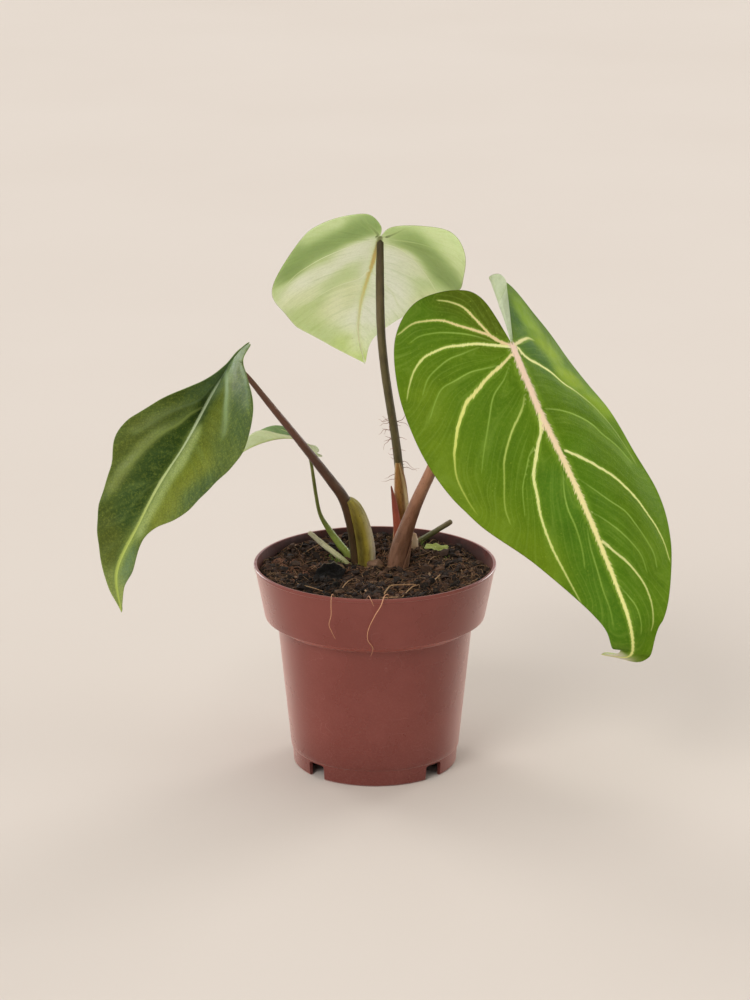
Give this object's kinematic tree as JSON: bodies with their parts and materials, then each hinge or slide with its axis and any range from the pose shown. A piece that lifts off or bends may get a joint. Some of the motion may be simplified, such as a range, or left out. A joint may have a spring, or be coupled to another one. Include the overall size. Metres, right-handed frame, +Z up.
{
  "type": "potted philodendron",
  "caption": "Young heart-leaved philodendron with velvety veined blades on upright petioles, growing in a plain round plastic nursery pot.",
  "frame": {"origin": "on the floor under the middle of the box round the whole plant and pot; the pot's own axis is 4.6 mm to -X and 10.1 mm to -Y of it", "axes": "+Z up, the viewer of the picture stands on the -Y side and has +X to the right"},
  "size_m": [0.2772, 0.1644, 0.282],
  "materials": {
    "pot": "satin terracotta-brown injection-moulded plastic",
    "soil": "rough dark peat with fibres and chips",
    "rhizome": "dry light brown, matte",
    "petiole_left": "satin, maroon-brown above, dark olive below",
    "sheath_left": "satin olive with a thin pale edge",
    "blade_left": "satin dull dark green, pleated",
    "petiole_back": "satin dark olive-brown, bristly in its lower part",
    "sheath_back": "thin orange-brown papery sheath",
    "blade_back": "pale translucent underside, mid-green upper face",
    "petiole_right": "satin pinkish brown",
    "blade_right": "velvet green with pale yellow-cream veins",
    "stem_small": "satin green",
    "blade_small": "pale green underside",
    "bud_scale": "satin reddish",
    "cream_scale": "dry cream, matte",
    "stub_left": "dry pale green, matte",
    "stub_right": "dull green, matte",
    "leaf_scrap": "soft green, matte",
    "dark_scale": "dark old leaf, dull",
    "root_one": "orange-tan, matte",
    "root_two": "orange-tan, matte",
    "root_three": "orange-tan, matte"
  },
  "bodies": {
    "root": {"pot": "pot", "soil": "soil", "rhizome": "rhizome", "petiole_left": "petiole_left", "sheath_left": "sheath_left", "blade_left": "blade_left", "petiole_back": "petiole_back", "sheath_back": "sheath_back", "blade_back": "blade_back", "petiole_right": "petiole_right", "blade_right": "blade_right", "stem_small": "stem_small", "blade_small": "blade_small", "bud_scale": "bud_scale", "cream_scale": "cream_scale", "stub_left": "stub_left", "stub_right": "stub_right", "leaf_scrap": "leaf_scrap", "dark_scale": "dark_scale", "root_one": "root_one", "root_two": "root_two", "root_three": "root_three"}
  },
  "joints": []
}
